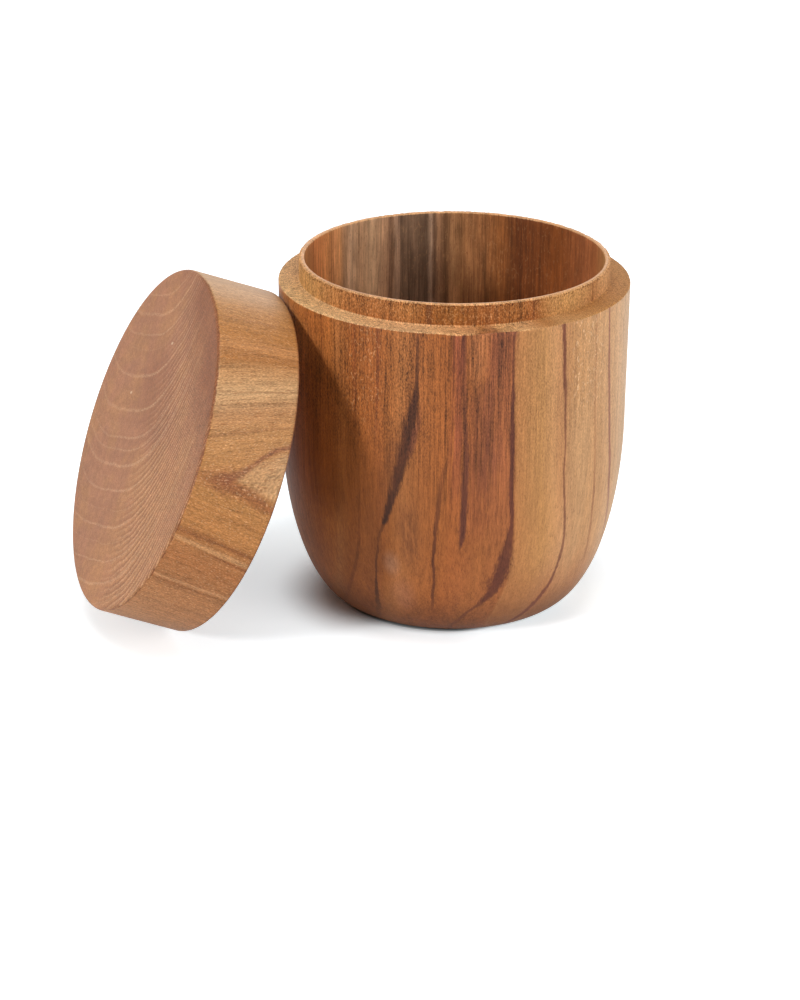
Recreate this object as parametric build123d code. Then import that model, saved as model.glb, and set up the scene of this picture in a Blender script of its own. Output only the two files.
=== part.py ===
from build123d import *
import os
from math import cos, radians, sin

# Wooden storage jar: a turned, hollowed body and a thick turned lid, which leans against it.
# The origin is the centre of the body's foot, +Z is up, and the front, where both show best, faces -Y.
# Lengths are millimetres and angles are degrees.

# Jar body, outside
jar_radius = 50.0              # at the shoulder, the widest place
belly_taper = 0.4              # how much slimmer the side is where it starts to curve in
belly_height = 56.0            # from the foot to where the side starts to curve in
upper_side_height = 39.5       # the nearly straight side above that, up to the shoulder
foot_radius = 29.5             # flat face that the jar stands on
shoulder_width = 5.8           # flat ledge round the collar, where the lid sits
shoulder_round = 0.4           # softened outer edge of the ledge

# Collar that the lid fits over
collar_height = 6.4            # above the shoulder
collar_wall = 1.6
collar_round = 0.5             # both edges of the rim
collar_root_round = 0.3        # inside corner between collar and ledge

# Jar body, inside
floor_thickness = 10.0
cavity_floor_radius = 24.0     # flat part of the cavity's floor

# Lid
lid_thickness = 24.5
lid_taper = 0.4                # how much slimmer the lid is at its face
lid_face_round = 1.0           # softened edge of the face
lid_underside_round = 0.5      # softened outer edge of the underside
recess_clearance = 0.3         # between the collar and the recess, all round
recess_headroom = 3.6          # between the collar's rim and the recess's ceiling
recess_mouth_round = 0.5
recess_corner_round = 1.5      # where the recess's wall meets its ceiling

# How the lid leans on the body
lid_lean = 68.4                # from lying face up on the table to where it leans
lid_heading = 199.3            # direction that the face looks towards, seen from above, from +X
lid_aside = 3.2                # how far the lid stands behind the line through the jar's middle
lean_gap = 0.3                 # left between the lid and the jar's side
lean_tolerance = 0.001         # how exactly that gap is reached

# Worked out from these
belly_radius = jar_radius - belly_taper
shoulder_height = belly_height + upper_side_height
collar_radius = jar_radius - shoulder_width
bore_radius = collar_radius - collar_wall
rim_height = shoulder_height + collar_height
lid_radius = jar_radius
lid_face_radius = lid_radius - lid_taper
recess_radius = collar_radius + recess_clearance
recess_depth = collar_height + recess_headroom


def turned(section):
    """The solid that a half section in the XZ plane makes when it is turned about Z."""
    return revolve(Plane.XZ * section, Axis.Z)


def corner(section, x, y):
    """The section's corner at that place."""
    return section.vertices().sort_by_distance((x, y, 0))[0]


def round_corners(section, corners):
    """The section with each (x, y, radius) corner rounded."""
    for x, y, radius in corners:
        section = fillet(corner(section, x, y), radius)
    return section


def make_jar_body():
    """One block, turned outside and hollowed: flat foot, rounded lower side, shoulder ledge and thin collar."""
    lower_side = EllipticalCenterArc(
        (foot_radius, belly_height), belly_radius - foot_radius, belly_height, start_angle=270, arc_size=90
    )
    top = Polyline(
        (belly_radius, belly_height),
        (jar_radius, shoulder_height),
        (collar_radius, shoulder_height),
        (collar_radius, rim_height),
        (bore_radius, rim_height),
        (bore_radius, belly_height),
    )
    cavity_cove = EllipticalCenterArc(
        (cavity_floor_radius, belly_height),
        bore_radius - cavity_floor_radius,
        belly_height - floor_thickness,
        start_angle=270,
        arc_size=90,
    )
    bottom = Polyline((cavity_floor_radius, floor_thickness), (0, floor_thickness), (0, 0), (foot_radius, 0))
    section = make_face([lower_side, top, cavity_cove, bottom])
    section = round_corners(
        section,
        [
            (jar_radius, shoulder_height, shoulder_round),
            (collar_radius, shoulder_height, collar_root_round),
            (collar_radius, rim_height, collar_round),
            (bore_radius, rim_height, collar_round),
        ],
    )
    return turned(section)


def make_lid():
    """One thick disc with a recess that fits over the collar. Its underside lies in z = 0 and its face looks up."""
    outline = Polyline(
        (0, recess_depth),
        (recess_radius, recess_depth),
        (recess_radius, 0),
        (lid_radius, 0),
        (lid_face_radius, lid_thickness),
        (0, lid_thickness),
        close=True,
    )
    section = round_corners(
        make_face(outline),
        [
            (recess_radius, recess_depth, recess_corner_round),
            (recess_radius, 0, recess_mouth_round),
            (lid_radius, 0, lid_underside_round),
            (lid_face_radius, lid_thickness, lid_face_round),
        ],
    )
    return turned(section)


def leaning_place(reach):
    """Where a leaning lid lies when its middle is that far out from the jar's middle and its edge is on the table."""
    lean, heading = radians(lid_lean), radians(lid_heading)
    outward = Vector(cos(heading), sin(heading), 0)
    behind = Vector(sin(heading), -cos(heading), 0)
    face_normal = outward * sin(lean) + Vector(0, 0, cos(lean))
    edge_ring = lid_radius - lid_underside_round
    middle_height = lid_underside_round + edge_ring * sin(lean) - lid_underside_round * cos(lean)
    middle = outward * reach + behind * lid_aside + Vector(0, 0, middle_height)
    return Plane(origin=middle, x_dir=behind, z_dir=face_normal).location


def space_left(lid, jar_body, reach):
    """How much further the lid can come towards the jar, from that reach, before the lean gap is used up."""
    return lid.moved(leaning_place(reach)).distance_to(jar_body) - lean_gap


def lean_lid(lid, jar_body):
    """The lid leaning on the jar: it slides in over the table, from where it clears the jar, until the gap is left."""
    reach = jar_radius + lean_gap + lid_radius * cos(radians(lid_lean))
    space = space_left(lid, jar_body, reach)
    slope = 1
    while space > lean_tolerance:
        nearer = reach - space / slope
        space_there = space_left(lid, jar_body, nearer)
        slope = (space - space_there) / (reach - nearer)
        reach, space = nearer, space_there
    return lid.moved(leaning_place(reach))


def main():
    jar_body = make_jar_body()
    lid = lean_lid(make_lid(), jar_body)
    os.makedirs("parts", exist_ok=True)
    export_step(jar_body, "parts/jar_body.step")
    export_step(lid, "parts/lid.step")


main()
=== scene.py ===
from math import atan2, cos, degrees, pi, radians, sin, tan

import bpy
from mathutils import Matrix, Vector, noise


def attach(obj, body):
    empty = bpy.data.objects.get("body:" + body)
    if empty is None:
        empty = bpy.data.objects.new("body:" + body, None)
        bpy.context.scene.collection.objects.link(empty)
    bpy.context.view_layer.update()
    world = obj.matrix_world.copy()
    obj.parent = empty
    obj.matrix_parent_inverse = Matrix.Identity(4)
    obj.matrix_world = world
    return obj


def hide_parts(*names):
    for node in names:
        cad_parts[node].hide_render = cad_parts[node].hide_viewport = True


# The looks of a turned wooden storage jar with its lid leaning on it.
# Blender works in metres, so sizes are written in millimetres times mm.
# The middle of the jar's foot is the origin, +Z is up and the front faces -Y.

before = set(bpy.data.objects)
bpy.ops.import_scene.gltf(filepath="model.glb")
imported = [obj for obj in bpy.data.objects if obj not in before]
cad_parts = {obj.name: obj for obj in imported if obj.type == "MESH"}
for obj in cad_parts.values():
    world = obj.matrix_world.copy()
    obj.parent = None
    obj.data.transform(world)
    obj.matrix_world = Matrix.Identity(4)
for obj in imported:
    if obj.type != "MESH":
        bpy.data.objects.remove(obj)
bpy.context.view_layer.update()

mm = 0.001

# Jar body, outside
jar_radius = 50.0 * mm
belly_radius = 49.6 * mm
belly_height = 56.0 * mm
shoulder_height = 95.5 * mm
foot_radius = 29.5 * mm
shoulder_round = 0.4 * mm

# Collar
collar_radius = 44.2 * mm
bore_radius = 42.6 * mm
rim_height = 101.9 * mm
collar_round = 0.5 * mm
collar_root_round = 0.3 * mm

# Cavity
floor_height = 10.0 * mm
cavity_floor_radius = 24.0 * mm

# Lid
lid_radius = 50.0 * mm
lid_face_radius = 49.6 * mm
lid_thickness = 24.5 * mm
lid_face_round = 1.0 * mm
lid_underside_round = 0.5 * mm
recess_radius = 44.5 * mm
recess_depth = 10.0 * mm
recess_mouth_round = 0.5 * mm
recess_corner_round = 1.5 * mm
lid_lean = radians(68.4)
lid_heading = radians(199.3)

# Wear: its depth, its reach from the edge and the size of the lumps of its noise
uneven_depth = 0.03 * mm
uneven_lumps = 14 * mm
rim_depth = 0.32 * mm
rim_drop = 0.22 * mm
rim_reach_in = 1.2 * mm
rim_reach_down = 0.9 * mm
rim_lumps = 0.9 * mm
rim_wide_lumps = 2.6 * mm
chip_depth = 0.4 * mm
chip_reach_in = 1.1 * mm
chip_reach_down = 1.0 * mm
chip_lumps = 1.6 * mm
ledge_lumps = 1.1 * mm
lid_depth = 0.12 * mm
lid_reach = 1.2 * mm
lid_reach_up = 0.9 * mm
lid_lumps = 1.4 * mm

# Where the ledge is chipped: degrees from +X, and degrees to both sides of that
chip_middle = -81.0
chip_spread = 15.0

# How finely the turned pieces are meshed
turn_steps = 720
profile_spacing = 1.2 * mm
round_steps = 6
curve_steps = 64


# Turned pieces

def placed(name, data):
    """A new object in the scene."""
    thing = bpy.data.objects.new(name, data)
    bpy.context.scene.collection.objects.link(thing)
    return thing


def arc(middle, radii, start, end):
    """Points of an ellipse's arc in the half section, from one angle in degrees to another."""
    angles = [radians(start + (end - start) * k / curve_steps) for k in range(curve_steps + 1)]
    return [Vector((middle[0] + radii[0] * cos(a), middle[1] + radii[1] * sin(a))) for a in angles]


def rounded(before, corner, after, radius):
    """Points that round a corner of the half section between two straight runs."""
    before, corner, after = Vector(before), Vector(corner), Vector(after)
    to_before, to_after = (before - corner).normalized(), (after - corner).normalized()
    half = to_before.angle(to_after) / 2
    middle = corner + (to_before + to_after).normalized() * radius / sin(half)
    first = corner + to_before * radius / tan(half) - middle
    last = corner + to_after * radius / tan(half) - middle
    sweep = first.angle_signed(last)
    points = []
    for k in range(round_steps + 1):
        angle = -sweep * k / round_steps
        x = first.x * cos(angle) - first.y * sin(angle)
        y = first.x * sin(angle) + first.y * cos(angle)
        points.append(middle + Vector((x, y)))
    return points


def filled_in(points):
    """The points with more between them, so that none lie farther apart than the profile's spacing."""
    out = [points[0]]
    for a, b in zip(points, points[1:]):
        count = max(1, round((b - a).length / profile_spacing))
        out += [a.lerp(b, k / count) for k in range(1, count + 1)]
    return out


def lathe(name, points, worn):
    """A closed mesh: the half section, which starts and ends on the axis, turned about Z and worn."""
    inner = points[1:-1]
    vertices = [(0, 0, points[0].y)]
    for step in range(turn_steps):
        a = 2 * pi * step / turn_steps
        vertices += [worn(Vector((p.x * cos(a), p.x * sin(a), p.y)), p.x) for p in inner]
    vertices.append((0, 0, points[-1].y))
    last, rows = len(vertices) - 1, len(inner)
    faces = []
    for step in range(turn_steps):
        here, there = 1 + step * rows, 1 + (step + 1) % turn_steps * rows
        faces.append((0, there, here))
        faces += [(here + k, there + k, there + k + 1, here + k + 1) for k in range(rows - 1)]
        faces.append((here + rows - 1, there + rows - 1, last))
    mesh = bpy.data.meshes.new(name)
    mesh.from_pydata(vertices, [], faces)
    mesh.shade_smooth()
    return placed(name, mesh)


def near(value, middle, reach):
    """1 at the middle, falling to 0 at that reach to both sides."""
    return max(0, 1 - abs(value - middle) / reach)


def lump(point, size):
    """Noise from -1 to 1 whose lumps are about that size."""
    return noise.noise(point / size)


def bump(point, size):
    """The same noise with its hollows filled up to 0."""
    return max(0, lump(point, size))


def pulled_in(point, radius, amount):
    """The point, brought nearer to the axis by that amount."""
    factor = 1 - amount / radius
    return Vector((point.x * factor, point.y * factor, point.z))


def unevenness(point):
    """How much nearer to the axis turning by hand leaves a place on the outside."""
    return uneven_depth * (1 + lump(point, uneven_lumps))


def rim_worn(point, radius):
    """The rim's outer edge is rough."""
    rough = bump(point, rim_lumps) + 0.6 * bump(point, rim_wide_lumps)
    rough *= near(radius, collar_radius, rim_reach_in)
    point = pulled_in(point, radius, rim_depth * rough)
    point.z -= rim_drop * rough
    return point


def ledge_worn(point, radius):
    """The ledge's outer edge is a little rough all round, and chipped in front."""
    at_edge = near(radius, jar_radius, chip_reach_in) * near(point.z, shoulder_height, chip_reach_down)
    if at_edge == 0:
        return point
    in_front = min(1, 2 * near(degrees(atan2(point.y, point.x)), chip_middle, chip_spread))
    chips = max(0, 0.35 + lump(point, chip_lumps)) * in_front
    depth = chip_depth * (chips + 0.25 * bump(point, ledge_lumps)) * at_edge
    point = pulled_in(point, radius, depth)
    point.z -= depth
    return point


def jar_worn(point, radius):
    """The jar is a little uneven outside, and its rim and its ledge are worn."""
    if radius > collar_radius:
        point = pulled_in(point, radius, unevenness(point))
    if point.z > rim_height - rim_reach_down:
        point = rim_worn(point, radius)
    return ledge_worn(point, radius)


def lid_worn(point, radius):
    """The lid is a little uneven outside, and both its edges are faintly worn."""
    at_edge = near(point.z, lid_thickness, lid_reach) + near(point.z, 0, lid_reach_up)
    at_edge *= near(radius, lid_radius, lid_reach)
    amount = lid_depth * bump(point, lid_lumps) * at_edge
    if radius > recess_radius:
        amount += unevenness(point)
    return pulled_in(point, radius, amount)


def jar_section():
    """The jar's half section, from the middle of its foot round to the middle of its cavity's floor."""
    side_top = (jar_radius, shoulder_height)
    ledge_in = (collar_radius, shoulder_height)
    rim_out = (collar_radius, rim_height)
    rim_in = (bore_radius, rim_height)
    side_foot = (belly_radius, belly_height)
    bore_foot = (bore_radius, belly_height)
    side_radii = (belly_radius - foot_radius, belly_height)
    cove_radii = (bore_radius - cavity_floor_radius, belly_height - floor_height)
    points = [Vector((0, 0))]
    points += arc((foot_radius, belly_height), side_radii, 270, 360)
    points += rounded(side_foot, side_top, ledge_in, shoulder_round)
    points += rounded(side_top, ledge_in, rim_out, collar_root_round)
    points += rounded(ledge_in, rim_out, rim_in, collar_round)
    points += rounded(rim_out, rim_in, bore_foot, collar_round)
    points += arc((cavity_floor_radius, belly_height), cove_radii, 360, 270)
    points.append(Vector((0, floor_height)))
    return filled_in(points)


def lid_section():
    """The lid's half section, from the middle of its recess round to its face. Its underside is at zero."""
    ceiling = (recess_radius, recess_depth)
    mouth = (recess_radius, 0)
    edge = (lid_radius, 0)
    face_edge = (lid_face_radius, lid_thickness)
    points = [Vector((0, recess_depth))]
    points += rounded((0, recess_depth), ceiling, mouth, recess_corner_round)
    points += rounded(ceiling, mouth, edge, recess_mouth_round)
    points += rounded(mouth, edge, face_edge, lid_underside_round)
    points += rounded(edge, face_edge, (0, lid_thickness), lid_face_round)
    points.append(Vector((0, lid_thickness)))
    return filled_in(points)


def lid_place():
    """Where the lid leans: its own x towards the front, its y up the lean and its z out of its face."""
    outward = Vector((cos(lid_heading), sin(lid_heading), 0))
    across = Vector((-sin(lid_heading), cos(lid_heading), 0))
    face_normal = outward * sin(lid_lean) + Vector((0, 0, cos(lid_lean)))
    turn = Matrix((across, face_normal.cross(across), face_normal)).transposed()
    own = [turn.transposed() @ v.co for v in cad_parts["lid"].data.vertices]
    low = Vector(min(p[k] for p in own) for k in range(3))
    high = Vector(max(p[k] for p in own) for k in range(3))
    middle = turn @ Vector(((low.x + high.x) / 2, (low.y + high.y) / 2, low.z))
    return Matrix.Translation(middle) @ turn.to_4x4()


# Nodes

# A streak's place and half width go through colours, so these bound them
farthest_streak = 200.0
widest_streak = 10.0


def light(value):
    """One part of a colour as a picture shows it, from 0 to 255, as a light value from 0 to 1."""
    value /= 255
    return value / 12.92 if value <= 0.04045 else ((value + 0.055) / 1.055) ** 2.4


def paint(red, green, blue):
    """A colour as a picture shows it, as the shaders take it."""
    return light(red), light(green), light(blue), 1.0


# The node tree of the material or world that is being made
tree = None


def begin(owner):
    """Empty the nodes of a material or world. The functions below add to the one that was begun last."""
    global tree
    owner.use_nodes = True
    tree = owner.node_tree
    tree.nodes.clear()


def add(kind, inputs=(), **settings):
    """A new node. An input that comes from another node is linked, and any other is set."""
    node = tree.nodes.new("ShaderNode" + kind)
    for key, value in settings.items():
        setattr(node, key, value)
    for key, value in dict(inputs).items():
        if isinstance(value, bpy.types.NodeSocket):
            tree.links.new(value, node.inputs[key])
        else:
            node.inputs[key].default_value = value
    return node


def math(operation, a, b=0.0, c=0.0):
    return add("Math", {0: a, 1: b, 2: c}, operation=operation).outputs[0]


def chained(operation, terms):
    """The terms, joined one after the other by the operation."""
    total = terms[0]
    for term in terms[1:]:
        total = math(operation, total, term)
    return total


def plus(*terms):
    return chained("ADD", terms)


def times(*terms):
    return chained("MULTIPLY", terms)


def either(*masks):
    """The strongest of several masks."""
    return chained("MAXIMUM", masks)


def less(a, b):
    return math("SUBTRACT", a, b)


def apart(value, middle):
    """How far the value is from the middle."""
    return math("ABSOLUTE", less(value, middle))


def scaled(vector, factors):
    return add("VectorMath", {0: vector, 1: factors}, operation="MULTIPLY").outputs[0]


def parts(vector):
    return add("SeparateXYZ", {0: vector}).outputs


def length(x, y):
    return math("SQRT", plus(times(x, x), times(y, y)))


def between(value, low, high, out_low=0.0, out_high=1.0, smooth=True):
    """The value's way from low to high, as a way from out_low to out_high."""
    way = "SMOOTHSTEP" if smooth else "LINEAR"
    inputs = {0: value, 1: low, 2: high, 3: out_low, 4: out_high}
    return add("MapRange", inputs, interpolation_type=way).outputs[0]


def band(value, middle, full, reach):
    """1 while the value is within `full` of the middle, falling to 0 at `reach`."""
    return between(apart(value, middle), reach, full)


def span(value, start, full, fading, end):
    """0 up to the start, 1 from `full` to `fading`, and 0 again from the end on."""
    return times(between(value, start, full), between(value, end, fading))


def swing(noise_value, half, reach):
    """A change up to reach both ways, for noise that goes up to half to both sides of its middle."""
    return between(noise_value, 0.5 - half, 0.5 + half, -reach, reach, smooth=False)


def mixed(factor, a, b):
    return add("Mix", {0: factor, 6: a, 7: b}, data_type="RGBA").outputs[2]


def tinted(colour, mask, strength, tone):
    """The colour, turned towards the tone by that strength where the mask is 1."""
    return mixed(times(mask, strength), colour, paint(*tone))


def shaded(colour, factor):
    """The colour, lighter or darker by that factor."""
    return add("VectorMath", {0: colour, "Scale": factor}, operation="SCALE").outputs[0]


def ramp(value, stops):
    """The colours at their stops, and those between."""
    low, high = stops[0][0], stops[-1][0]
    node = add("ValToRGB", {0: between(value, low, high, smooth=False)})
    elements = node.color_ramp.elements
    elements[0].position, elements[1].position = 0, 1
    for at, _ in stops[1:-1]:
        elements.new((at - low) / (high - low))
    for element, (_, colour) in zip(elements, stops):
        element.color = colour
    return node.outputs[0]


def tones(value, rows):
    """A ramp of colours as a picture shows them, from rows of (place, red, green, blue)."""
    return ramp(value, [(at, paint(*colour)) for at, *colour in rows])


def curve(value, stations):
    """A number from 0 to 1 that goes through (place, number) stations."""
    return parts(ramp(value, [(at, (level, level, level, 1)) for at, level in stations]))[0]


def streak(across, along, stations, ragged, soft):
    """A mark that runs along the wood. Its stations are (along, across, half width, strength)."""
    stops = []
    for at, side, half, strength in stations:
        held_side = (side + farthest_streak) / (2 * farthest_streak)
        stops.append((at, (held_side, half / widest_streak, strength, 1)))
    middle, half, strength = parts(ramp(along, stops))
    middle = math("MULTIPLY_ADD", middle, 2 * farthest_streak, -farthest_streak)
    half_widths_off = math("DIVIDE", apart(across, middle), times(half, widest_streak))
    return times(between(plus(half_widths_off, ragged), 1 + soft, 1 - soft), strength)


def marked(colour, marks, across, along, ragged, where):
    """The colour with a table of marks drawn on it, as (tone, strength, softness, stations)."""
    for tone, strength, soft, stations in marks:
        mask = times(streak(across, along, stations, ragged, soft), where)
        colour = tinted(colour, mask, strength, tone)
    return colour


# The wood's grain

relief_depth = 0.06 * mm
relief_strength = 0.6
pore_strength = 0.5
wood_gloss = 0.22
end_grain_roughness = 0.85


class Wood:
    """A piece of wood. Its nodes count in plain millimetres, and its fibres run along z of self.place."""

    def __init__(self, name):
        self.material = bpy.data.materials.new(name)
        begin(self.material)
        self.metres = add("TexCoord").outputs["Object"]

    def noise(self, wide, long, detail=2.0, roughness=0.5):
        """Noise from 0 to 1 whose lumps are about that wide, and that long with the fibres."""
        place = scaled(self.place, (1 / wide, 1 / wide, 1 / long))
        inputs = {"Vector": place, "Scale": 1, "Detail": detail, "Roughness": roughness}
        return add("TexNoise", inputs).outputs["Fac"]

    def wander(self, wide, long, reach, detail=2.0):
        """Noise that wanders up to about that far to both sides of zero."""
        return math("MULTIPLY_ADD", self.noise(wide, long, detail), 4 * reach, -2 * reach)

    def fibres(self, lines, specks):
        """The fine structure: a grey level near 1, a mask of open pores and a relief.

        Lines and specks say how strong each of the two is.
        """
        hair = self.noise(0.3, 9)
        speckle = self.noise(0.26, 0.7)
        long_change = plus(
            swing(hair, 0.18, 0.13),
            swing(self.noise(0.8, 36), 0.16, 0.1),
            swing(self.noise(2.6, 80), 0.16, 0.08),
            swing(self.noise(14, 40), 0.16, 0.05),
        )
        short_change = plus(
            swing(speckle, 0.2, 0.2),
            swing(self.noise(0.9, 3.2), 0.18, 0.06),
        )
        level = plus(1, times(long_change, lines), times(short_change, specks))
        pores = between(self.noise(0.24, 1.5, 1), 0.64, 0.72)
        relief = plus(times(hair, 0.5), times(speckle, specks, 0.5), times(pores, -1))
        return level, pores, relief

    def finish(self, colour, lines, specks, pore_tone, end_grain):
        """The surface: satin, with its fibres and pores in colour and in relief. End grain is matt."""
        level, pores, relief = self.fibres(lines, specks)
        colour = tinted(shaded(colour, level), pores, pore_strength, pore_tone)
        inputs = {"Strength": relief_strength, "Distance": relief_depth, "Height": relief}
        normal = add("Bump", inputs).outputs[0]
        satin = between(relief, -0.2, 0.8, 0.58, 0.44, smooth=False)
        shader = add(
            "BsdfPrincipled",
            {
                "Base Color": colour,
                "Roughness": either(satin, times(end_grain, end_grain_roughness)),
                "Specular IOR Level": wood_gloss,
                "Normal": normal,
            },
        )
        add("OutputMaterial", {0: shader.outputs[0]})


# The jar's wood

# Its pith, the distance from there to ring 0, and how the grain flares out towards the foot
jar_pith_x = -155.5
jar_pith_y = 55.7
ring_zero = 165.3
flare_height = 45
flare_power = 2.5
flare_reach = 15

# A shell inside the wall that parts outside from cavity: a flat disc, then a quarter ellipse
shell_flat = 27
shell_width = 16.4
shell_height = 51

# Tones
foot_tan = (152, 94, 54)
# painted shade for the bottom of the foot
painted_foot_shade = (104, 58, 34)
smoke_brown = (108, 62, 34)
# painted sheen for the jar's right side
painted_right_sheen = (210, 168, 124)
# painted shadow of the lid on the jar's left
painted_lid_shadow = (116, 66, 28)
orange_brown = (158, 86, 38)
# painted sheen for the jar's right edge
painted_edge_sheen = (204, 172, 138)
collar_line_brown = (96, 54, 28)
ledge_brown = (120, 66, 34)
rim_tan = (204, 152, 104)
pit_dark = (84, 42, 18)
pit_pale = (224, 172, 118)
fleck_brown = (200, 146, 98)
fleck_pale = (234, 194, 152)
jar_pore_brown = (98, 52, 28)

# The front, by growth ring
front_tones = [
    (-55, 174, 117, 67), (-30, 163, 102, 53), (-20, 155, 91, 44), (-13, 157, 93, 44), (-10, 158, 98, 52),
    (-6, 143, 82, 38), (-1, 150, 86, 41), (4, 143, 81, 38), (6, 146, 85, 40), (10, 163, 101, 54),
    (15, 150, 88, 44), (19, 143, 82, 39), (22.4, 142, 80, 39), (26, 144, 83, 43), (28.5, 146, 86, 44),
    (31, 145, 85, 45), (35.2, 150, 89, 48), (35.7, 171, 114, 66), (40.3, 180, 128, 76), (42.3, 188, 136, 88),
    (43.6, 178, 124, 80), (44.9, 174, 125, 80), (46.3, 186, 137, 90), (51, 196, 150, 106), (60, 190, 142, 96),
]

# The cavity's far wall and the back, by the way round the cavity from its left over the back. Its tones are
# the wood's with the cavity's painted shade in them
back_tones = [
    (-10, 193, 122, 71), (8, 188, 120, 74), (13, 185, 110, 64), (19, 195, 122, 71), (22.5, 215, 140, 83),
    (25.5, 183, 121, 76), (28.3, 209, 143, 90), (30, 174, 128, 91), (33, 184, 144, 110), (37, 183, 139, 102),
    (41, 192, 151, 113), (45.8, 178, 133, 98), (46.8, 134, 97, 71), (48, 130, 95, 69), (48.9, 166, 129, 100),
    (49.8, 159, 122, 95), (50.5, 111, 84, 63), (58.6, 107, 81, 61), (59.7, 153, 122, 98), (60.6, 111, 81, 60),
    (62.3, 136, 98, 69), (64, 108, 74, 48), (66.3, 162, 114, 75), (69, 138, 93, 57), (72, 156, 104, 64),
    (76, 145, 93, 54), (80, 136, 82, 41), (86, 110, 58, 24), (100, 128, 69, 29), (112, 156, 91, 53),
    (126, 171, 104, 62), (140, 185, 118, 71),
]

# The collar and the flat ledge, by the way round the jar from its left over the front
collar_tones = [
    (0, 184, 136, 80), (22, 192, 144, 85), (34, 179, 123, 69), (45, 166, 104, 55), (57, 155, 97, 51),
    (65, 164, 106, 56), (70, 144, 86, 38), (79, 133, 80, 33), (90, 131, 75, 34), (98, 166, 103, 50),
    (105, 146, 85, 40), (108, 174, 117, 64), (112, 187, 134, 79), (119, 190, 139, 82), (127, 185, 132, 79),
    (132, 183, 124, 72), (140, 200, 145, 93), (157, 183, 129, 78), (314, 184, 136, 80),
]
ledge_tones = [
    (0, 196, 154, 109), (20, 207, 165, 113), (45, 214, 169, 118), (57, 207, 158, 109), (68, 205, 158, 111),
    (78, 202, 148, 97), (83.5, 179, 127, 81), (87, 150, 99, 52), (89.5, 159, 107, 65), (92, 195, 147, 95),
    (99, 203, 154, 104), (104, 182, 128, 78), (107, 161, 109, 59), (112, 177, 131, 82), (124, 171, 119, 65),
    (131, 173, 119, 63), (142, 174, 122, 71), (157, 177, 127, 77), (314, 196, 154, 109),
]

# Dark lines across the collar, as (way round, full half width, outer half width, strength)
collar_lines = [
    (70.8, 0.3, 1.5, 0.8), (58.6, 0.1, 0.9, 0.35), (92, 0.1, 0.8, 0.35), (104.3, 0.1, 0.7, 0.55),
    (131.3, 0.1, 1.1, 0.5),
]

# How far the ledge's pale wood shows below its edge, by the way round: most where it is chipped
chip_shows = [(60, 0.5), (75, 0.5), (78, 1), (84, 0.95), (87, 0.15), (95, 0.1), (97, 0.5), (110, 0.5)]

# Smudges, as (way round, height, half width, half height, strength, tone)
smudges = [
    (60.3, 25, 4, 6, 0.45, (168, 124, 98)),
    (63, 15, 6, 9, 0.35, (158, 104, 80)),
]

# Marks, as (tone, strength, softness, stations), with stations of (height, ring, half width, strength)
red_marks = [
    # between the two thin lines left of the red zone
    ((118, 60, 42), 0.8, 0.35,
     [(40, 22.5, 1, 0), (52, 23.2, 1, 0.5), (66, 23.8, 1, 0.8), (80, 23.9, 1, 0.8), (90, 23.9, 1.1, 1),
      (96, 23.9, 1.1, 1)]),
    # the red zone
    ((124, 68, 42), 0.85, 0.3,
     [(30, 33, 2.6, 0), (42, 32.6, 2.8, 0.45), (62, 32.4, 2.9, 0.75), (80, 32.6, 2.7, 0.75),
      (88, 32.9, 2.4, 0.95), (96, 33, 2.4, 0.95)]),
    # its browner left part
    ((122, 66, 38), 0.85, 0.5,
     [(30, 28, 1.2, 0), (40, 28.2, 1.9, 0.8), (55, 28.2, 1.9, 0.9), (72, 28.2, 1.9, 0.85),
      (82, 28.2, 1.5, 0.1)]),
    # smoke inside it
    ((102, 56, 40), 0.65, 0.9,
     [(44, 30, 1, 0), (52, 29.5, 1.8, 0.5), (58, 30, 2.4, 0.9), (68, 29.8, 2.1, 0.6),
      (76, 29.8, 2.1, 0.75), (83, 31, 1.5, 0.3), (96, 32.9, 1.2, 0.2)]),
    # a lighter stripe on its left
    ((164, 104, 66), 0.6, 0.6,
     [(78, 28.2, 0.8, 0), (85, 28.2, 1.5, 0.6), (96, 28.4, 2, 0.8)]),
]
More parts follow.
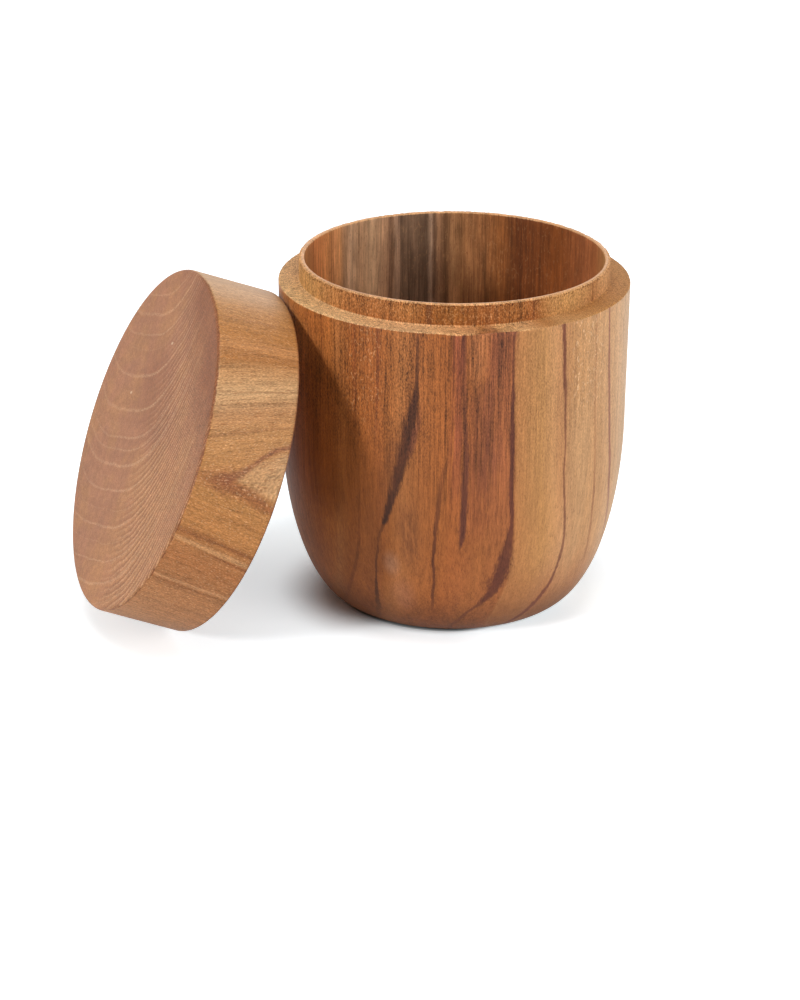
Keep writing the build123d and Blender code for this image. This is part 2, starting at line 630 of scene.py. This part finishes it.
ring_marks = [
    # the long dark wedge left of the middle, with a faint tail down to the foot
    ((28, 16, 15), 1, 0.5,
     [(0, 8, 0.8, 0), (7.5, 6.6, 0.9, 0.35), (11, 5.2, 0.75, 0.6), (18, 3.4, 0.45, 0.7),
      (25, 2.7, 0.35, 0.6), (33, 2.9, 0.35, 0.3), (37, 4.3, 0.4, 0.4), (38, 4.7, 0.6, 0.95),
      (42, 5.6, 0.95, 1), (47, 7.4, 1.2, 1), (53, 9, 1.5, 1), (60, 10.6, 1.7, 1), (67, 12.1, 1.65, 1),
      (73, 13.2, 1.4, 1), (77, 13.7, 0.9, 1), (80, 13.9, 0.55, 0.85), (87, 14, 0.4, 0.7),
      (96, 14, 0.35, 0.7)]),
    # a purple shade along the wedge's right side, and a smoky one along its left
    ((104, 56, 44), 0.7, 0.5,
     [(56, 11, 0.8, 0), (62, 12.8, 0.9, 0.8), (68, 14.2, 0.8, 0.8), (74, 15, 0.4, 0)]),
    ((112, 62, 34), 0.8, 0.5,
     [(34, 3.5, 1.5, 0), (45, 5.6, 2.4, 0.5), (60, 9.2, 3.2, 0.6), (72, 12.6, 2.6, 0.5),
      (84, 13.5, 1.5, 0.3), (96, 13.8, 1.2, 0.3)]),
    # a thin line that runs nearly all the way down, in the middle
    ((78, 38, 24), 0.85, 0.5,
     [(8, 22, 0.4, 0), (14, 20.4, 0.35, 0.8), (27, 18.1, 0.32, 1), (37, 18.1, 0.35, 0.85),
      (45, 19.2, 0.5, 0.65), (53, 20, 0.55, 0.5), (60, 21.6, 0.5, 0.4), (70, 22.3, 0.4, 0.2),
      (96, 22.4, 0.4, 0.3)]),
    # a thinner line close to it, in the upper half
    ((88, 44, 28), 0.8, 0.5,
     [(46, 21.4, 0.3, 0), (56, 21.9, 0.3, 0.5), (70, 22.4, 0.22, 0.5), (84, 22.6, 0.2, 0.7),
      (96, 22.6, 0.2, 0.75)]),
    # the dark line at the left edge of the red zone, with a blunt end
    ((76, 38, 33), 0.88, 0.5,
     [(31, 24.1, 0.2, 0), (33, 24.3, 0.4, 0.95), (37, 24.6, 0.85, 0.95), (47, 25.2, 0.9, 0.9),
      (56, 25.5, 0.75, 0.8), (66, 25.6, 0.5, 0.7), (80, 25.3, 0.45, 0.5), (96, 24.9, 0.45, 0.6)]),
    # the red zone's right edge, which ends in a broad blotch
    ((78, 36, 28), 0.88, 0.5,
     [(3, 28, 0.5, 0.4), (9, 29.9, 0.5, 0.6), (12, 31.8, 0.5, 0.6), (13.5, 32.4, 0.8, 0.95),
      (17, 33.4, 1.2, 0.95), (20, 33.6, 1.5, 1), (27, 34.1, 1.5, 0.95), (33, 34.4, 0.9, 0.9),
      (40, 34.8, 0.4, 0.95), (75, 35.2, 0.28, 0.95), (84, 35.2, 0.2, 0.6), (96, 35.2, 0.2, 0.5)]),
    # the dark red-brown line in the pale wood at the right
    ((96, 44, 32), 0.9, 0.5,
     [(0, 38.5, 0.5, 0.5), (3, 40.9, 0.5, 0.85), (6, 42.5, 0.5, 0.9), (10, 43.3, 0.42, 0.9),
      (15, 43.8, 0.3, 0.9), (20, 43.7, 0.2, 0.85), (40, 43.6, 0.13, 0.75), (60, 44, 0.13, 0.7),
      (74, 43.9, 0.18, 0.75), (79, 43.8, 0.27, 0.9), (96, 43.5, 0.28, 0.95)]),
    # faint lines at the left
    ((84, 44, 22), 0.7, 0.5,
     [(8, -5.6, 0.8, 0), (14, -5.0, 0.7, 0.5), (25, -3.8, 0.5, 0.6), (45, -2.8, 0.35, 0.5),
      (60, -2.8, 0.3, 0)]),
    ((98, 48, 26), 0.8, 0.5,
     [(58, 2.9, 0.3, 0), (70, 3, 0.35, 0.6), (80, 3.45, 0.42, 0.75), (96, 3.5, 0.42, 0.75)]),
    ((112, 56, 28), 0.8, 0.5,
     [(62, -4.3, 0.5, 0), (74, -4.15, 0.7, 0.6), (96, -4.0, 0.7, 0.6)]),
    ((104, 52, 26), 0.7, 0.5,
     [(78, -15.8, 0.3, 0), (84, -15.8, 0.45, 0.5), (96, -15.8, 0.45, 0.6)]),
]

# At the right the rings lie nearly along the surface, so these stations count the way round instead
right_marks = [
    ((134, 76, 62), 0.85, 0.5,
     [(16, 143, 0.6, 0), (24, 141.5, 0.7, 0.5), (33, 139, 0.8, 0.7), (41, 136.4, 0.8, 0.85),
      (55, 134, 0.7, 0.9), (72, 132.4, 0.7, 0.9), (84, 131.3, 0.5, 0.9), (96, 130.5, 0.5, 0.9)]),
    ((138, 84, 50), 0.8, 0.5,
     [(14, 130.5, 0.5, 0), (22, 129.3, 0.6, 0.6), (35, 127.3, 0.6, 0.8), (50, 125.8, 0.5, 0.6),
      (75, 124.3, 0.4, 0.45), (96, 123.7, 0.4, 0.5)]),
]


class JarWood(Wood):
    """The jar's wood. Its growth rings are upright shells round a pith far behind at the left.

    way is the way round the jar from its left over the front, ring counts the growth rings, outside is 1
    outside and 0 in the cavity, and before is 1 in front and 0 at the back.
    """

    def __init__(self):
        super().__init__("jar_wood")
        self.place = scaled(self.metres, (1000, 1000, 1000))
        self.x, self.y, self.z = parts(self.place)
        self.radius = length(self.x, self.y)
        self.heading = math("ARCTAN2", self.y, self.x)
        self.way = times(plus(self.heading, pi), jar_radius / mm)
        self.uneven_way = plus(self.way, self.wander(6, 30, 0.3))
        self.before = between(self.y, 6, -2)
        self.outside = self.outside_mask()
        self.ring = self.growth_ring()
        self.ragged = plus(self.wander(0.5, 2, 0.35, 3), self.wander(1.2, 8, 0.3))
        self.patchy = between(self.noise(0.8, 14, 3), 0.36, 0.56, 0.6, 1)

    def outside_mask(self):
        """1 outside the shell in the wall and 0 inside it."""
        out = either(plus(self.radius, -shell_flat), 0)
        down = either(less(belly_height / mm, self.z), 0)
        shells = length(times(out, 1 / shell_width), times(down, 1 / shell_height))
        return between(shells, 0.985, 1.015)

    def growth_ring(self):
        """The distance from the pith, wavy, and flaring out towards the foot."""
        from_pith = length(plus(self.x, -jar_pith_x), plus(self.y, -jar_pith_y))
        flare = math("POWER", between(self.z, flare_height, 0, smooth=False), flare_power)
        waves = plus(self.wander(9, 45, 0.35), self.wander(2, 14, 0.16))
        waves = times(waves, between(self.way, 95, 115, 1, 0.4))
        return plus(from_pith, -ring_zero, times(flare, flare_reach), waves)

    def back_wood_and_shade(self):
        """The wood of the cavity's far wall, in streaks and mottled, with the cavity's painted shade in its
        tones. The back outside has the same.
        """
        way = times(less(pi, self.heading), bore_radius / mm)
        colour = tones(plus(way, self.wander(3, 16, 0.35, 3)), back_tones)
        streaks = swing(self.noise(1.1, 11, 3), 0.15, 0.14)
        mottle = swing(self.noise(3, 5, 3), 0.15, 0.1)
        return shaded(shaded(colour, plus(1, streaks)), plus(1, mottle))

    def darker_foot(self, colour):
        """The tan side turns brown near the foot, and painted shade darkens all of the foot, most at the
        right.
        """
        tan_foot = times(between(self.ring, 34.8, 36.4), between(self.z, 30, 9))
        colour = tinted(colour, tan_foot, 0.75, foot_tan)
        lifted = times(between(self.ring, 0, 40), 3)
        # painted shade, darkest at the very bottom of the foot
        return tinted(colour, between(plus(self.z, lifted), 17, 4), 0.35, painted_foot_shade)

    def soft_patch(self, colour, tone, strength, across, along, grain=1):
        """A soft patch. Across and along give its middle and its full and outer half widths."""
        mask = times(band(self.uneven_way, *across), band(self.z, *along), grain)
        return tinted(colour, mask, strength, tone)

    def tones_and_painted_light(self, colour):
        """Smoke over the foot, a painted sheen at the right, painted light on the lower half and painted
        shade at the very bottom, a painted shadow of the lid and more orange wood at the left, and a painted
        sheen along the right edge.
        """
        colour = self.soft_patch(colour, smoke_brown, 0.75, (66, 1, 5), (35, 4, 14), self.patchy)
        # a painted sheen on the right side
        colour = self.soft_patch(colour, painted_right_sheen, 0.25, (118, 2, 7), (44, 14, 38))
        # painted light brightens the lower half, less at the right, and painted shade darkens the very bottom
        lower = between(self.z, 58, 26, 1, between(self.way, 105, 125, 1.1, 1.02))
        colour = shaded(colour, times(lower, between(self.z, 4, 18, 0.75, 1)))
        # a painted shadow of the lid, deepening its real one on the jar's left
        colour = self.soft_patch(colour, painted_lid_shadow, 0.85, (38, 4, 11), (60, 15, 27))
        orange = times(between(self.ring, -4, -14), self.before, span(self.z, 30, 50, 70, 88))
        colour = tinted(colour, orange, 0.45, orange_brown)
        # a painted sheen along the right edge, where the jar turns away
        edge_sheen = times(span(self.way, 128, 150, 160, 185), self.outside)
        return tinted(colour, edge_sheen, 0.5, painted_edge_sheen)

    def collar(self, colour):
        """The collar is a lighter, sandy brown, with a few dark lines across it. Also its mask."""
        lines = [times(band(self.way, at, *widths), level) for at, *widths, level in collar_lines]
        sandy = mixed(either(*lines), tones(self.way, collar_tones), paint(*collar_line_brown))
        mask = times(between(self.z, 95.6, 95.9), self.outside, between(self.y, 16, 2))
        return mixed(times(mask, 0.92), colour, sandy), mask

    def ledge(self, colour):
        """The ledge is pale, with a brown patch in front, and its chips are pale too. Also its mask."""
        pale = tones(plus(self.way, self.wander(2.5, 2.5, 1)), ledge_tones)
        outer = between(plus(self.radius, self.wander(1.2, 1.2, 0.5)), 46.8, 49)
        pale = tinted(pale, times(outer, band(self.way, 88.5, 2, 4.5)), 0.6, ledge_brown)
        over_edge = plus(
            self.z,
            -95.3,
            times(less(jar_radius / mm, self.radius), 0.45),
            between(curve(self.way, chip_shows), 0, 1, -0.3, 0.3, smooth=False),
            self.wander(0.7, 0.7, 0.18, 3),
        )
        mask = times(between(over_edge, -0.1, 0.1), between(self.z, 96.1, 95.75), self.outside)
        return mixed(times(mask, 0.93), colour, pale), mask

    def rim(self, colour):
        """The top of the rim is pale."""
        mask = between(plus(self.z, self.wander(0.6, 0.6, 0.12)), 101.45, 101.65)
        return tinted(colour, mask, 0.9, rim_tan)

    def pits(self, colour, turned_end):
        """Rough end grain: dark pits under the rim, fewer on collar and ledge, and pale ones between."""
        pit_noise = self.noise(0.36, 0.5, 1)
        under_rim = times(span(self.z, 100.2, 101, 101.5, 101.75), self.outside, 0.85)
        rough = either(under_rim, times(turned_end, between(self.way, 55, 85, 0.15, 0.3)))
        colour = tinted(colour, between(pit_noise, 0.52, 0.62), rough, pit_dark)
        return tinted(colour, between(pit_noise, 0.44, 0.34), times(turned_end, 0.2), pit_pale)

    def flecks(self, colour):
        """Pale flecks, scribbled over the upper side and fainter over the cavity's wall."""
        scribble = between(apart(self.noise(1, 2.6, 1, 0.4), 0.5), 0.045, 0.01)
        broken = between(self.noise(1, 1.6, 1), 0.46, 0.58)
        left_and_right = either(span(self.way, 45, 50, 56, 61), span(self.way, 113, 117, 126, 131))
        upper_side = times(span(self.z, 60, 78, 94.8, 95.2), left_and_right)
        far_wall = times(between(self.y, 10, 20), between(self.z, 60, 75, 0, 0.35))
        far_wall = times(between(self.outside, 1, 0), far_wall)
        mask = times(scribble, broken, either(upper_side, far_wall))
        paler = times(between(self.way, 85, 105), self.outside)
        tone = mixed(paler, paint(*fleck_brown), paint(*fleck_pale))
        return mixed(times(mask, 0.45), colour, tone)

    def smudged(self, colour):
        """Pale smudges low on the front."""
        for at, high, wide, tall, strength, tone in smudges:
            aside = times(plus(self.way, -at), 1 / wide)
            off = length(aside, times(plus(self.z, -high), 1 / tall))
            colour = tinted(colour, between(off, 1, 0.1), times(self.outside, strength), tone)
        return colour

    def grain(self, turned_end):
        """How strong the fibres' lines and specks are: strongest on the brown wood high on the front."""
        brown = between(self.ring, 36, 34.5)
        left = between(self.ring, 22, 12)
        middle = less(brown, left)
        right = less(1, brown)
        upper = between(self.z, 45, 75)
        specks = plus(
            between(self.z, 25, 75, 0.45, 0.9),
            times(left, upper, 1.6),
            times(middle, upper, 0.9),
            times(between(self.way, 80, 105, 0, 0.6), turned_end),
            times(right, upper, 0.4),
        )
        specks = times(specks, between(self.outside, 0, 1, 0.15, 1))
        lines = plus(
            1.1,
            times(middle, self.before, between(self.z, 30, 65, 0.2, 1.5)),
            times(left, upper, 0.7),
            times(turned_end, -0.3),
            times(right, -0.3),
        )
        return lines, specks


def jar_wood():
    """The jar's wood, from its broad tones and painted light to its fibres."""
    wood = JarWood()
    colour = mixed(between(wood.y, 0, 20), tones(wood.ring, front_tones), wood.back_wood_and_shade())
    colour = wood.darker_foot(colour)
    in_front = times(wood.before, wood.patchy)
    colour = marked(colour, red_marks, wood.ring, wood.z, times(wood.ragged, 0.5), in_front)
    colour = wood.tones_and_painted_light(colour)
    colour = marked(colour, ring_marks, wood.ring, wood.z, wood.ragged, wood.before)
    colour = marked(colour, right_marks, wood.uneven_way, wood.z, wood.ragged, wood.before)
    colour, on_collar = wood.collar(colour)
    colour, on_ledge = wood.ledge(colour)
    turned_end = either(on_collar, on_ledge)
    colour = wood.pits(wood.rim(colour), turned_end)
    colour = wood.smudged(wood.flecks(colour))
    lines, specks = wood.grain(turned_end)
    wood.finish(colour, lines, specks, jar_pore_brown, turned_end)
    return wood.material


# The lid's wood

# Its pith lies beyond the disc. The rings round it are squarish ovals, turned and narrower one way
lid_pith_x = -62.9
lid_pith_y = 144.1
oval_turn = radians(-16.8)
oval_narrowing = 2.773
oval_power = 3.0

# The pale rings on the face, as (distance from the pith, how much thinner and fainter)
pale_rings = [
    (107, 0.3), (110.5, 0.6), (114.7, 0.2), (117.5, 0.7), (120.4, 0), (123.5, 0.6), (126.5, 0.1),
    (128.5, 0.7), (131, 0.4), (134.5, 0.6), (138.5, 0), (143, 0.5), (146, 0.7), (148.7, 0), (153, 0.5),
    (156.9, 0.1), (160.4, 0.2), (164.9, 0), (168.5, 0.5), (172.2, 0.1), (175.3, 0.5), (178, 0.4),
    (182.8, 0.1), (187.5, 0.4), (192.6, 0.2), (198.9, 0.1), (205, 0.3), (211, 0.2), (218, 0.3),
]
no_ring_near = 9.0

# Tones
face_left = (160, 108, 76)
face_right = (168, 114, 74)
face_upper = (136, 84, 54)
face_warm = (166, 116, 72)
face_dusky = (136, 86, 58)
late_wood_brown = (140, 88, 62)
fine_ring_dark = (110, 66, 44)
pale_ring_tan = (210, 168, 128)
face_top = (126, 74, 44)
knot_pale = (232, 206, 172)
dash_brown = (130, 76, 38)
dot_pale = (222, 178, 130)
low_edge_brown = (112, 60, 32)
seam_brown = (104, 52, 30)
lid_pore_brown = (112, 66, 36)

# Tiny pale knots on the face, as (x, y)
knots = [(-4, 28), (-22, 6.5)]

# The side, by the way round from its top, which is the same over both sides. Its paler top is a painted
# highlight from above
side_tones = [
    (-10, 187, 146, 104), (8, 183, 139, 94), (17, 167, 116, 64), (27, 164, 110, 58), (32, 176, 122, 74),
    (37, 162, 108, 60), (41, 178, 130, 84), (48, 184, 144, 101), (54, 166, 118, 75), (60, 164, 115, 66),
    (72, 172, 118, 66), (84, 170, 114, 64), (91, 166, 109, 64), (95, 162, 104, 60), (104, 168, 112, 68),
    (124, 179, 123, 78), (157, 176, 122, 80),
]

# Marks on the side, with stations of (depth below the face, way round, half width, strength)
side_marks = [
    # the pale patch inside the V
    ((178, 138, 97), 0.85, 0.5,
     [(9, 68.5, 0.6, 0), (13, 68, 2.2, 0.6), (24.5, 66, 7.5, 0.95)]),
    # its left arm, its right arm and the brown smoke where they meet
    ((118, 66, 40), 0.8, 0.8,
     [(4, 70.5, 1.2, 0), (9, 69.5, 1.3, 0.7), (13, 66.6, 1.1, 0.95), (17, 62, 0.9, 1), (20, 59.4, 0.8, 1),
      (24.5, 57, 0.7, 0.9)]),
    ((126, 70, 40), 0.75, 0.8,
     [(2, 71.2, 1.8, 0.3), (8, 71.2, 2.2, 0.8), (14, 72.3, 2, 0.9), (24.5, 75.2, 1.7, 0.95)]),
    ((122, 68, 44), 0.6, 0.9,
     [(0, 70.5, 1.2, 0.3), (5, 70.3, 2.6, 0.6), (9, 70.2, 3, 0.9), (12, 70.4, 1.6, 0.4),
      (14, 70.5, 0.8, 0)]),
    # brown lines with a pale one beside them, twice
    ((120, 66, 34), 0.7, 0.8, [(0, 86.6, 1, 0.8), (12, 88, 0.8, 0.8), (24.5, 90.2, 0.5, 0.9)]),
    ((204, 154, 104), 0.65, 0.7, [(0, 89, 0.6, 0.7), (24.5, 93, 0.8, 0.9)]),
    ((124, 68, 36), 0.7, 0.7, [(10, 91.5, 0.4, 0), (14, 92.4, 0.4, 0.8), (24.5, 94.6, 0.5, 0.9)]),
    ((196, 144, 98), 0.65, 0.7, [(0, 103, 0.5, 0.9), (24.5, 106, 0.6, 0.8)]),
    ((132, 78, 44), 0.6, 0.7, [(0, 104.5, 0.5, 0.9), (24.5, 107.4, 0.4, 0.8)]),
    # thin dark lines, most of them above the V
    ((124, 80, 46), 0.6, 0.9, [(0, 47.5, 0.3, 0.5), (24.5, 41, 0.3, 0.8)]),
    ((124, 80, 46), 0.6, 0.9, [(0, 51, 0.25, 0.4), (24.5, 44.5, 0.25, 0.7)]),
    ((130, 82, 46), 0.7, 0.9, [(0, 60, 0.5, 0.7), (24.5, 51, 0.3, 0.5)]),
    ((134, 82, 44), 0.6, 0.9, [(0, 33.5, 0.3, 0.6), (24.5, 31, 0.3, 0.6)]),
    ((140, 90, 54), 0.6, 0.9, [(0, 21.5, 0.3, 0.6), (24.5, 19, 0.3, 0.6)]),
    ((138, 84, 42), 0.5, 0.9, [(0, 78, 0.4, 0.4), (24.5, 82, 0.4, 0.6)]),
]


class LidWood(Wood):
    """The lid's wood. Its fibres run along its axis, so its face is end grain.

    x, y and z are the lid's own: x towards the front, y up the lean and z from the underside to the face.
    """

    def __init__(self, lid_at):
        super().__init__("lid_wood")
        inputs = {"Vector": self.metres, "Location": lid_at.to_translation(), "Rotation": lid_at.to_euler()}
        own = add("Mapping", inputs, vector_type="TEXTURE").outputs[0]
        straight = scaled(own, (1000, 1000, 1000))
        self.x, self.y, z = parts(straight)
        self.radius = length(self.x, self.y)
        self.depth = less(lid_thickness / mm, z)
        self.angle = math("ARCTAN2", self.x, self.y)
        self.turned_by = times(self.aslant(), self.depth)
        inputs = {"Vector": straight, "Angle": times(self.turned_by, -1)}
        self.place = add("VectorRotate", inputs, rotation_type="Z_AXIS").outputs[0]
        self.before = between(self.x, 0, 6)

    def aslant(self):
        """The fibres' turn in radians per millimetre of depth: one way at the top and the other lower."""
        from_top = math("ABSOLUTE", self.angle)
        return plus(
            between(from_top, 0.4, 0.9, 0.08 / 50, 0.3 / 50),
            between(from_top, 1.2, 1.6, 0, -0.44 / 50),
        )

    def way_round(self, angle, reach):
        """The way round the side from its top, wavy by about that reach."""
        way = times(math("ABSOLUTE", angle), lid_radius / mm)
        return plus(way, self.wander(3, 18, reach))

    def growth_ring(self):
        """How far out from the pith a ring lies."""
        across = plus(self.x, -lid_pith_x, self.wander(16, 70, 0.6), self.wander(3, 20, 0.1))
        down = less(lid_pith_y, plus(self.y, self.wander(14, 60, 0.6)))
        a = plus(times(across, cos(oval_turn)), times(down, sin(oval_turn)))
        b = plus(times(across, -sin(oval_turn)), times(down, cos(oval_turn)))
        a = times(math("ABSOLUTE", a), oval_narrowing)
        b = math("ABSOLUTE", b)
        powers = plus(math("POWER", a, oval_power), math("POWER", b, oval_power))
        return math("POWER", powers, 1 / oval_power)

    def pale_arcs(self, ring):
        """The pale growth rings, clearest at the right."""
        nearest = no_ring_near
        for at, faint in pale_rings:
            nearest = math("MINIMUM", nearest, plus(apart(ring, at), faint))
        return times(between(nearest, 0.75, 0.05), between(self.x, -46, 10, 0.4, 1))

    def fine_rings(self, ring):
        """The pale and the dark fine rings at the right, where they lie close together."""
        way = plus(times(ring, 3), self.wander(5, 60, 1.5, 3))
        tight = between(plus(self.x, times(self.y, 0.25)), -8, 22)
        pale = times(between(math("SINE", way), 0.35, 1), tight)
        dark = between(math("SINE", plus(way, 2.4)), 0.3, 1)
        return pale, times(dark, tight, 0.9)

    def late_wood(self, ring):
        """The darker half of each growth ring."""
        way = plus(times(ring, 1.25), self.wander(9, 60, 1))
        return between(math("SINE", way), -0.2, 1)

    def face_tones(self):
        """Its broad tones: warmer at the right, browner at the upper right and in the middle."""
        right = plus(self.x, times(self.y, -0.35), self.wander(20, 90, 9))
        colour = mixed(between(right, -15, 45), paint(*face_left), paint(*face_right))
        upper_right = between(plus(self.x, self.y, self.wander(16, 90, 8)), 15, 65)
        colour = tinted(colour, upper_right, 0.85, face_upper)
        colour = tinted(colour, between(self.noise(11, 80), 0.42, 0.62), 0.5, face_warm)
        aside = times(plus(self.x, times(self.y, 0.5), -6), 0.8)
        dusky = between(length(aside, plus(self.y, -13)), 19, 5)
        return tinted(colour, dusky, 0.7, face_dusky)

    def face(self):
        """The end grain with its growth rings, a shade at the top and tiny knots."""
        ring = self.growth_ring()
        dots = between(self.noise(0.4, 6), 0.38, 0.6, 0.1, 1)
        fine_pale, fine_dark = self.fine_rings(ring)
        colour = tinted(self.face_tones(), self.late_wood(ring), 0.16, late_wood_brown)
        colour = tinted(colour, times(fine_dark, dots), 0.9, fine_ring_dark)
        pale = times(either(self.pale_arcs(ring), fine_pale), dots)
        colour = tinted(colour, pale, 0.55, pale_ring_tan)
        high = plus(self.y, times(self.x, 0.6), self.wander(9, 60, 4))
        top = times(between(high, 32, 52), between(self.x, -6, 6))
        return self.knotted(tinted(colour, top, 0.75, face_top))

    def knotted(self, colour):
        """The face's colour with its tiny knots, each longer one way."""
        for knot_x, knot_y in knots:
            aside = plus(self.x, -knot_x)
            off = length(times(aside, 0.6), plus(self.y, -knot_y, times(aside, -0.3)))
            colour = tinted(colour, between(off, 0.6, 0.2), 0.5, knot_pale)
        return colour

    def side(self):
        """The long grain of the side, with a painted highlight at its top, its marks, dashes and dots and a
        darker lower edge.
        """
        # the tones hold a painted highlight along the top
        colour = tones(self.way_round(plus(self.angle, self.turned_by), 0.5), side_tones)
        ragged = plus(self.wander(0.5, 2, 0.3, 3), self.wander(1.2, 8, 0.25))
        way = self.way_round(self.angle, 0.4)
        colour = marked(colour, side_marks, way, self.depth, ragged, self.before)
        dashes = between(self.noise(0.35, 2.6), 0.6, 0.7)
        colour = tinted(colour, dashes, 0.5, dash_brown)
        pale_dots = between(self.noise(0.34, 0.7, 1), 0.4, 0.3)
        colour = tinted(colour, pale_dots, 0.3, dot_pale)
        low_edge = between(plus(self.depth, self.wander(1.5, 1.5, 0.2)), 23.7, 24.3)
        return tinted(colour, times(low_edge, self.before), 0.6, low_edge_brown)


def lid_wood(lid_at):
    """The lid's wood: face, side, the dark seam between them, and fibres."""
    wood = LidWood(lid_at)
    beyond_recess = between(wood.radius, 46, 48)
    edge = plus(wood.radius, times(wood.depth, 0.8), wood.wander(0.8, 0.8, 0.14))
    on_side = times(between(edge, 49.55, 49.75), beyond_recess)
    broken = between(wood.noise(2, 2), 0.4, 0.6, 0.35, 1)
    seam = times(band(edge, 49.75, 0.1, 0.35), broken, wood.before)
    colour = mixed(on_side, wood.face(), wood.side())
    colour = tinted(colour, seam, 0.75, seam_brown)
    lines = between(beyond_recess, 0, 1, 0.9, 0.8)
    specks = plus(0.4, times(between(wood.x, -10, 25), 1.2))
    wood.finish(colour, lines, specks, lid_pore_brown, times(less(1, on_side), 0.6))
    return wood.material


# The pieces

jar = lathe("jar_body_turned", jar_section(), jar_worn)
lid = lathe("lid_turned", lid_section(), lid_worn)
lid_at = lid_place()
lid.data.transform(lid_at)
jar.data.materials.append(jar_wood())
lid.data.materials.append(lid_wood(lid_at))

for piece, node, body, slot in ((jar, "jar_body", "jar", "jar_wood"), (lid, "lid", "lid", "lid_wood")):
    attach(piece, body)
    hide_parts(node)


# The floor. Its nodes count in metres

floor_half = 3.0
floor_grey = (0.765, 0.785, 0.795, 1)
floor_white = (0.97, 0.99, 1, 1)
glow_colour = (0.92, 1.03, 1.08, 1)
gloss_sees = 0.5


def background_rays(gloss):
    """1 for rays from the camera or through glass, and that much for rays from a glossy surface."""
    rays = add("LightPath").outputs
    in_gloss = times(rays["Is Glossy Ray"], gloss)
    return either(rays["Is Camera Ray"], in_gloss, rays["Is Transmission Ray"])


def floor_glow(from_foot, left, right):
    """How much the floor glows, painted light that runs it into white: not at the foot, soon after it and
    brighter at the right, where it paints the shadow out, later at the left. A grey ring of painted shade
    stays round the foot, but not at the left.
    """
    reach = plus(0.007, times(left, 0.017), times(right, -0.004))
    # a grey ring of painted shade round the foot, not at the left
    painted_shade_ring = times(span(from_foot, 0.004, 0.011, 0.018, 0.032), less(1, left))
    far_off = between(from_foot, 0.4, 1.5)
    full = plus(0.42, times(right, 0.12), times(painted_shade_ring, -0.17), times(far_off, 0.5))
    return between(math("DIVIDE", from_foot, reach), 0.2, 1, 0, full)


def white_floor():
    """White, with the jar's shadow and a painted contact shadow at the foot, except at the right. The camera
    sees it brighter, so that it runs into the room.
    """
    material = bpy.data.materials.new("floor_white")
    begin(material)
    x, y, _ = parts(add("TexCoord").outputs["Object"])
    seen = background_rays(gloss_sees)
    from_foot = plus(length(x, y), -foot_radius)
    left = between(x, -0.016, -0.036)
    right = between(x, -0.002, 0.014)
    # painted contact shadow at the edge of the foot, except at the right
    painted_contact_shadow = between(from_foot, 0.0026, 0.0042, between(right, 0, 1, 0.25, 1), 1)
    colour = shaded(mixed(seen, floor_grey, floor_white), painted_contact_shadow)
    diffuse = add("BsdfDiffuse", {"Color": colour})
    strength = times(floor_glow(from_foot, left, right), seen)
    emission = add("Emission", {"Color": glow_colour, "Strength": strength})
    both = add("AddShader", {0: diffuse.outputs[0], 1: emission.outputs[0]})
    add("OutputMaterial", {0: both.outputs[0]})
    return material


def make_floor():
    """A large flat square on which the jar stands."""
    corners = [(-1, -1), (1, -1), (1, 1), (-1, 1)]
    mesh = bpy.data.meshes.new("floor")
    mesh.from_pydata([(x * floor_half, y * floor_half, 0) for x, y in corners], [], [(0, 1, 2, 3)])
    mesh.materials.append(white_floor())
    return placed("floor", mesh)


floor = make_floor()


# The light

lamp_target = Vector((0, 0, belly_height))
room_level = 0.26
white = (1, 1, 1, 1)

# Lamps, as (name, azimuth from the front and elevation in degrees, distance and size in metres, level)
lamps = [
    ("left_lamp", 306, 20, 1.5, 0.32, 0.52),
    ("right_lamp", 55, 15, 1.5, 1, 0.55),
    ("top_lamp", 0, 75, 1.5, 1.2, 0.5),
    ("back_lamp", 165, 25, 1.5, 1.2, 0.25),
]


def softbox(name, azimuth, elevation, distance, size, level):
    """A round soft lamp that looks at the jar. At level 1 it lights white that faces it to full white."""
    lamp = bpy.data.lights.new(name, "AREA")
    lamp.shape = "DISK"
    lamp.size = size
    lamp.energy = level * pi ** 2 * distance ** 2
    a, e = radians(azimuth), radians(elevation)
    towards = Vector((sin(a) * cos(e), -cos(a) * cos(e), sin(e)))
    thing = placed(name, lamp)
    thing.location = lamp_target + towards * distance
    thing.rotation_mode = "QUATERNION"
    thing.rotation_quaternion = towards.to_track_quat("Z", "Y")


def white_room():
    """Soft light from all sides, which camera, gloss and glass see as white."""
    world = bpy.data.worlds.new("white_room")
    begin(world)
    dim = add("Background", {"Color": white, "Strength": room_level})
    bright = add("Background", {"Color": white, "Strength": 1.0})
    seen = background_rays(1)
    mix = add("MixShader", {0: seen, 1: dim.outputs[0], 2: bright.outputs[0]})
    add("OutputWorld", {0: mix.outputs[0]})
    return world


for lamp_row in lamps:
    softbox(*lamp_row)
bpy.context.scene.world = white_room()


# The camera

camera_place = Vector((0, -0.88104, 0.37910))
camera_forward = Vector((-0.0158, 0.92849, -0.37102))
camera_up = Vector((-0.01332, 0.37084, 0.9286))
lens_in_picture_heights = 3.25
sensor_width = 36.0

camera_data = bpy.data.cameras.new("camera")
camera_data.sensor_width = sensor_width
camera_data.lens = sensor_width * lens_in_picture_heights
camera = placed("camera", camera_data)
camera_right = camera_forward.cross(camera_up).normalized()
camera_turn = Matrix((camera_right, camera_right.cross(camera_forward), -camera_forward)).transposed()
camera.matrix_world = Matrix.Translation(camera_place) @ camera_turn.to_4x4()
bpy.context.scene.camera = camera

bpy.context.scene.view_settings.view_transform = "Standard"
